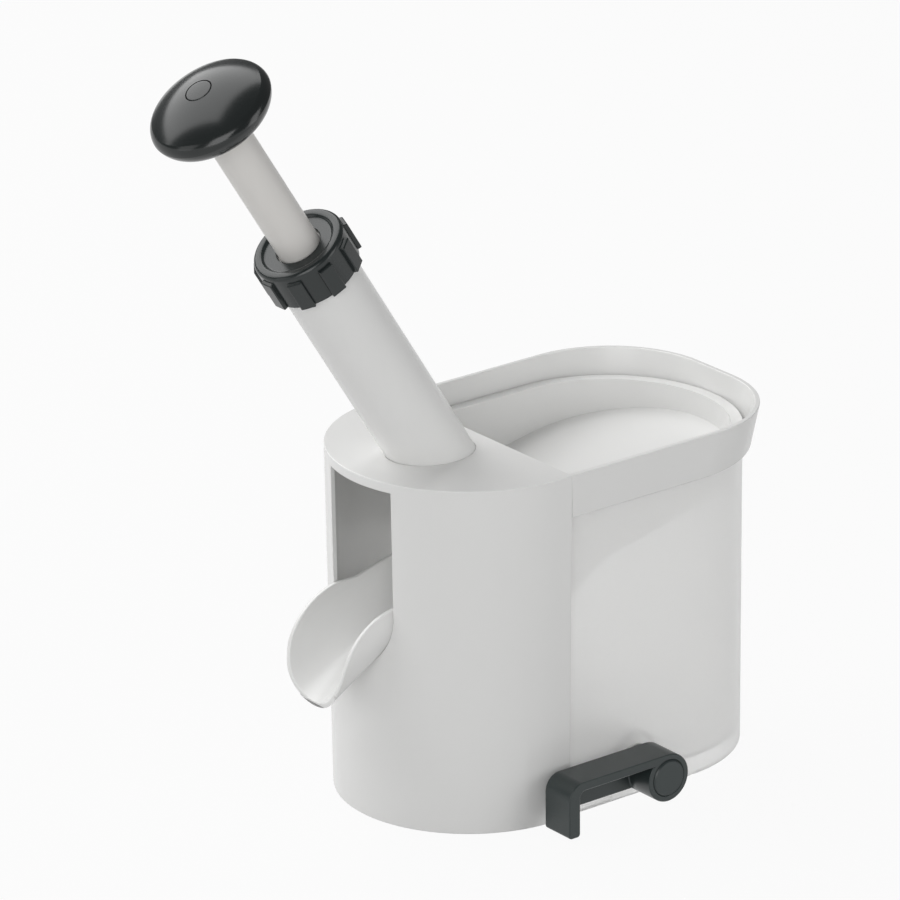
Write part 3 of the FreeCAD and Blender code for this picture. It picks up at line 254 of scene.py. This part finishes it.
def dress_frame():
    """Give every carried-over CAD node its finish."""
    for name, node in frame["nodes"].items():
        material = NUT_BLACK if name == "collar_nut" else FINISH[SLOT_OF[name]]
        for slot in node.material_slots:
            slot.material = material
        if not node.material_slots:
            node.data.materials.append(material)


# Piece helpers

def finish_piece(name, shape, body, nodes, material=None, turn=None, evened=False):
    """Turn a finished bmesh into a piece that stands for CAD nodes and rides on their body."""
    slot = SLOT_OF[nodes[0]]
    if turn is not None:
        shape.transform(turn)
        bmesh.ops.remove_doubles(shape, verts=shape.verts, dist=WELD)
        bmesh.ops.recalc_face_normals(shape, faces=shape.faces)
    mesh = bpy.data.meshes.new(name)
    shape.to_mesh(mesh)
    shape.free()
    mesh.materials.clear()
    mesh.materials.append(material or FINISH[slot])
    mesh.shade_smooth()
    mesh.set_sharp_from_angle(angle=SHARP)
    piece = bpy.data.objects.new(name, mesh)
    bpy.context.scene.collection.objects.link(piece)
    if evened:
        even = piece.modifiers.new("even_shading", "WEIGHTED_NORMAL")
        even.keep_sharp = True
        even.weight = 80
    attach(piece, body)
    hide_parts(*nodes)
    return piece


def merged_copy(node):
    """A node's mesh as one welded bmesh, with its flat faces whole again."""
    shape = bmesh.new()
    shape.from_mesh(frame["nodes"][node].data)
    bmesh.ops.remove_doubles(shape, verts=shape.verts, dist=WELD)
    bmesh.ops.dissolve_limit(shape, angle_limit=math.radians(FLAT), verts=shape.verts,
                             edges=shape.edges)
    return shape


# How far a face's triangles may cover more than its outline, and a copy's flat angle in degrees
SPREAD_LIMIT = 1.02
FLAT = 0.8


def crossed_faces(shape, mark):
    """Marks of many-sided faces whose triangles cover more than their outline does."""
    shape.normal_update()
    shape.faces.index_update()
    spread = {}
    for first, second, third in shape.calc_loop_triangles():
        side = second.vert.co - first.vert.co
        area = side.cross(third.vert.co - first.vert.co).length / 2.0
        spread[first.face.index] = spread.get(first.face.index, 0.0) + area
    return {face[mark] for face in shape.faces
            if len(face.verts) > 4 and spread[face.index] > face.calc_area() * SPREAD_LIMIT}


def soften(name, node, body, width, steps=3, least=28.0):
    """A welded copy of a node whose hard edges get a moulded radius, in millimetres.

    A face that is too slender for the radius keeps its own hard edges.
    """
    slender = set()
    while True:
        shape = merged_copy(node)
        mark = shape.faces.layers.int.new("origin")
        for index, face in enumerate(shape.faces):
            face[mark] = index
        hard = [edge for edge in shape.edges
                if len(edge.link_faces) == 2 and edge.calc_face_angle(0.0) > math.radians(least)
                and not any(face[mark] in slender for face in edge.link_faces)]
        bmesh.ops.bevel(shape, geom=hard, offset=width * MM, offset_type="OFFSET",
                        segments=steps, profile=0.5, affect="EDGES", clamp_overlap=False,
                        material=-1)
        crossed = crossed_faces(shape, mark) - slender
        if not crossed:
            break
        slender |= crossed
        shape.free()
    shape.faces.layers.int.remove(mark)
    return finish_piece(name, shape, body, [node], evened=True)


def outline(corners, steps=6):
    """A wire in the XZ plane through (radius, height, rounding), in millimetres."""
    shape = bmesh.new()
    spots = [shape.verts.new((radius, 0.0, height)) for radius, height, _ in corners]
    for first, second in zip(spots, spots[1:]):
        shape.edges.new((first, second))
    for spot, (_, _, rounding) in zip(spots, corners):
        if rounding > 0.0:
            bmesh.ops.bevel(shape, geom=[spot], offset=rounding, offset_type="OFFSET",
                            segments=steps, profile=0.5, affect="VERTICES", clamp_overlap=True,
                            material=-1)
    return shape


def lathe(corners, steps=96, closed=True):
    """Spin an outline about Z; a closed one joins its ends first."""
    if closed:
        corners = corners + [(corners[0][0], corners[0][1], 0.0)]
    shape = outline(corners)
    bmesh.ops.remove_doubles(shape, verts=shape.verts, dist=1e-5)
    bmesh.ops.spin(shape, geom=shape.verts[:] + shape.edges[:], cent=(0.0, 0.0, 0.0),
                   axis=(0.0, 0.0, 1.0), dvec=(0.0, 0.0, 0.0), angle=math.tau, steps=steps,
                   use_merge=True, use_duplicate=False)
    bmesh.ops.remove_doubles(shape, verts=shape.verts, dist=1e-4)
    return shape


# Plunger pieces, heights in millimetres along the plunger's axis from the deck

KNOB_TOP = 176.2
PLUG_FOOT = 173.85
PLUG_RADIUS = 4.55
NUT_FOOT = 89.2
NUT_TOP = 103.5
NUT_RADIUS = 16.5
NUT_RIM = 13.5
NUT_BORE = 13.4
NUT_MOUTH = 8.2
NUT_SINK = 1.1
NUT_RIBS = 9
RIB_TOP = 101.2
RIB_WIDTH = 5.4
RIB_REACH = 17.6
RIB_ROOT = NUT_RADIUS - 1.0
RIB_SLOPE = 0.9
RIB_EDGE = 0.35


def make_knob_plug():
    """The inset disc in the dome: flush, slightly crowned, with a soft edge."""
    shape = lathe([(0.0, PLUG_FOOT, 0.0), (PLUG_RADIUS, PLUG_FOOT, 0.0),
                   (PLUG_RADIUS, KNOB_TOP + 0.05, 0.3), (2.4, KNOB_TOP + 0.22, 1.2),
                   (0.0, KNOB_TOP + 0.29, 0.0)], 64, closed=False)
    finish_piece("knob_disc", shape, "plunger", ["knob_plug"], turn=PLUNGER)


def make_nut():
    """Screw cap: a rounded rim round a sunk face, and nine blocky ribs round its skirt."""
    sunk = NUT_TOP - NUT_SINK
    shape = lathe([
        (NUT_MOUTH, NUT_TOP - 3.0, 0.0), (NUT_MOUTH, sunk, 0.3), (NUT_RIM - NUT_SINK, sunk, 0.5),
        (NUT_RIM, NUT_TOP, 0.5), (NUT_RADIUS, NUT_TOP, 1.6), (NUT_RADIUS, NUT_FOOT, 0.4),
        (NUT_BORE, NUT_FOOT, 0.2), (NUT_BORE, NUT_TOP - 3.0, 0.0)], 144)
    height = RIB_TOP - NUT_FOOT + 0.15
    for index in range(NUT_RIBS):
        block = bmesh.ops.create_cube(shape, size=1.0)["verts"]
        edges = list({edge for spot in block for edge in spot.link_edges})
        bmesh.ops.scale(shape, verts=block, vec=(RIB_REACH - RIB_ROOT, RIB_WIDTH, height))
        for spot in block:
            if spot.co.z > 0.0 and spot.co.x < 0.0:
                spot.co.z -= RIB_SLOPE
        bmesh.ops.translate(shape, verts=block, vec=(
            -(RIB_REACH + RIB_ROOT) / 2.0, 0.0, RIB_TOP - height / 2.0))
        bmesh.ops.rotate(shape, verts=block, cent=(0.0, 0.0, 0.0),
                         matrix=Matrix.Rotation(math.tau * index / NUT_RIBS, 3, "Z"))
        bmesh.ops.bevel(shape, geom=edges, offset=RIB_EDGE, offset_type="OFFSET", segments=3,
                        profile=0.5, affect="EDGES", clamp_overlap=True, material=-1)
    finish_piece("screw_nut", shape, "housing", ["collar_nut"], NUT_BLACK, PLUNGER, True)


def make_spring():
    """The wire's own turns, as one welded piece with a mesh of its own."""
    shape = bmesh.new()
    shape.from_mesh(frame["nodes"]["return_spring"].data)
    bmesh.ops.remove_doubles(shape, verts=shape.verts, dist=WELD)
    spring = finish_piece("spring_coil", shape, "housing", ["return_spring"])
    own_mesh(spring)


# Foot pieces

PAD_RADIUS = 23.0
PAD_HEIGHT = 7.0
SHAFT_X = 4.6


def make_suction_pad():
    """Soft cup with a feathered rim, drawn up in the middle."""
    shape = lathe([
        (0.0, PAD_HEIGHT, 0.0), (8.0, PAD_HEIGHT, 1.0), (10.2, 6.0, 2.2), (17.5, 2.3, 3.0),
        (PAD_RADIUS, 1.15, 0.45), (PAD_RADIUS, 0.05, 0.2), (21.0, 0.05, 0.3), (16.5, 1.0, 3.0),
        (8.2, 3.2, 3.0), (0.0, 3.9, 0.0)], 96, closed=False)
    place = Matrix.Translation(Vector((SHAFT_X, 0.0, 0.0)) * MM) @ UPRIGHT
    pad = finish_piece("suction_cup", shape, "base", ["suction_pad"], turn=place)
    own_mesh(pad)


def make_body():
    """The large mouldings and the lever, with their corners rounded."""
    soften("body_shell", "housing_shell", "housing", 0.35)
    soften("spout", "chute", "housing", 0.5)
    soften("container", "stone_container", "base", 0.4)
    soften("foot_lever", "lever", "lever", 0.5)


def flat_colour(name, colour, glow):
    """A pale ground that shows near white to the camera and keeps the shadow."""
    material, nodes, links, shader = new_material(name)
    shader.inputs["Base Color"].default_value = (*colour, 1.0)
    shader.inputs["Roughness"].default_value = 0.7
    output = [node for node in nodes if node.type == "OUTPUT_MATERIAL"][0]
    light = nodes.new("ShaderNodeEmission")
    light.inputs["Color"].default_value = (1.0, 1.0, 1.0, 1.0)
    path = nodes.new("ShaderNodeLightPath")
    seen = nodes.new("ShaderNodeMath")
    seen.operation = "MAXIMUM"
    through = nodes.new("ShaderNodeMath")
    through.operation = "MAXIMUM"
    links.new(path.outputs["Is Camera Ray"], seen.inputs[0])
    links.new(path.outputs["Is Glossy Ray"], seen.inputs[1])
    links.new(seen.outputs[0], through.inputs[0])
    links.new(path.outputs["Is Transmission Ray"], through.inputs[1])
    share = nodes.new("ShaderNodeMath")
    share.operation = "MULTIPLY"
    share.inputs[1].default_value = glow
    links.new(through.outputs[0], share.inputs[0])
    mix = nodes.new("ShaderNodeMixShader")
    links.new(share.outputs[0], mix.inputs["Fac"])
    links.new(shader.outputs["BSDF"], mix.inputs[1])
    links.new(light.outputs["Emission"], mix.inputs[2])
    links.new(mix.outputs["Shader"], output.inputs["Surface"])
    return material


FLOOR_SIZE = 6.0
FLOOR_DROP = 0.0002


def make_stage():
    mesh = bpy.data.meshes.new("floor")
    shape = bmesh.new()
    bmesh.ops.create_grid(shape, x_segments=1, y_segments=1, size=FLOOR_SIZE)
    shape.to_mesh(mesh)
    shape.free()
    floor = bpy.data.objects.new("floor", mesh)
    bpy.context.scene.collection.objects.link(floor)
    floor.location.z = -FLOOR_DROP
    mesh.materials.append(flat_colour("pale_floor", (0.45, 0.45, 0.45), 0.94))


def make_world():
    world = bpy.data.worlds.new("studio")
    bpy.context.scene.world = world
    world.use_nodes = True
    nodes = world.node_tree.nodes
    links = world.node_tree.links
    nodes.clear()
    output = nodes.new("ShaderNodeOutputWorld")
    room = nodes.new("ShaderNodeBackground")
    room.inputs["Color"].default_value = (1.0, 1.0, 1.0, 1.0)
    room.inputs["Strength"].default_value = 0.2
    seen = nodes.new("ShaderNodeBackground")
    seen.inputs["Strength"].default_value = 1.0
    seen.inputs["Color"].default_value = (1.0, 1.0, 1.0, 1.0)
    path = nodes.new("ShaderNodeLightPath")
    either = nodes.new("ShaderNodeMath")
    either.operation = "MAXIMUM"
    links.new(path.outputs["Is Camera Ray"], either.inputs[0])
    links.new(path.outputs["Is Transmission Ray"], either.inputs[1])
    mix = nodes.new("ShaderNodeMixShader")
    links.new(either.outputs[0], mix.inputs["Fac"])
    links.new(room.outputs["Background"], mix.inputs[1])
    links.new(seen.outputs["Background"], mix.inputs[2])
    links.new(mix.outputs["Shader"], output.inputs["Surface"])


def area_light(name, spot, aim, size, power):
    data = bpy.data.lights.new(name, "AREA")
    data.shape = "RECTANGLE"
    data.size, data.size_y = size
    data.energy = power
    lamp = bpy.data.objects.new(name, data)
    bpy.context.scene.collection.objects.link(lamp)
    lamp.location = spot
    lamp.rotation_euler = (Vector(aim) - Vector(spot)).to_track_quat("-Z", "Y").to_euler()


def make_lights():
    aim = (0.0, 0.0, 0.10)
    area_light("back_softbox", (-0.25, 0.90, 1.20), aim, (1.9, 1.6), 23.0)
    area_light("front_soft", (-1.10, -0.95, 0.55), aim, (1.0, 0.9), 8.4)
    area_light("right_fill", (0.65, -1.25, 0.50), aim, (0.7, 0.9), 4.5)
    area_light("left_fill", (-1.35, 0.25, 0.40), aim, (0.6, 0.6), 1.2)


# Camera worked out from the object's footprint, deck and plunger in the 900 by 900 photograph
CAMERA_AZIMUTH = math.radians(-37.87)
CAMERA_HEIGHT = math.radians(21.24)
CAMERA_ROLL = math.radians(-0.46)
CAMERA_DISTANCE = 2.4
CAMERA_AIM = (-31.49, 107.7)
FOCAL_PIXELS = 6797.26
PHOTO_PIXELS = 900.0
SENSOR = 36.0


def make_camera():
    a, e, r = CAMERA_AZIMUTH, CAMERA_HEIGHT, CAMERA_ROLL
    back = Vector((math.sin(a) * math.cos(e), -math.cos(a) * math.cos(e), math.sin(e)))
    level = Vector((math.cos(a), math.sin(a), 0.0))
    over = back.cross(level)
    right = level * math.cos(r) + over * math.sin(r)
    up = over * math.cos(r) - level * math.sin(r)
    spot = (right * CAMERA_AIM[0] + up * CAMERA_AIM[1]) * MM + back * CAMERA_DISTANCE
    data = bpy.data.cameras.new("camera")
    data.sensor_fit = "HORIZONTAL"
    data.sensor_width = SENSOR
    data.lens = FOCAL_PIXELS / PHOTO_PIXELS * SENSOR
    data.clip_start = 0.05
    data.clip_end = 50.0
    camera = bpy.data.objects.new("camera", data)
    bpy.context.scene.collection.objects.link(camera)
    turn = Matrix((right, up, back)).transposed()
    camera.matrix_world = Matrix.Translation(spot) @ turn.to_4x4()
    bpy.context.scene.camera = camera


dress_frame()
make_knob_plug()
make_nut()
make_spring()
make_suction_pad()
make_body()
make_stage()
make_world()
make_lights()
make_camera()
bpy.context.scene.view_settings.view_transform = "Standard"
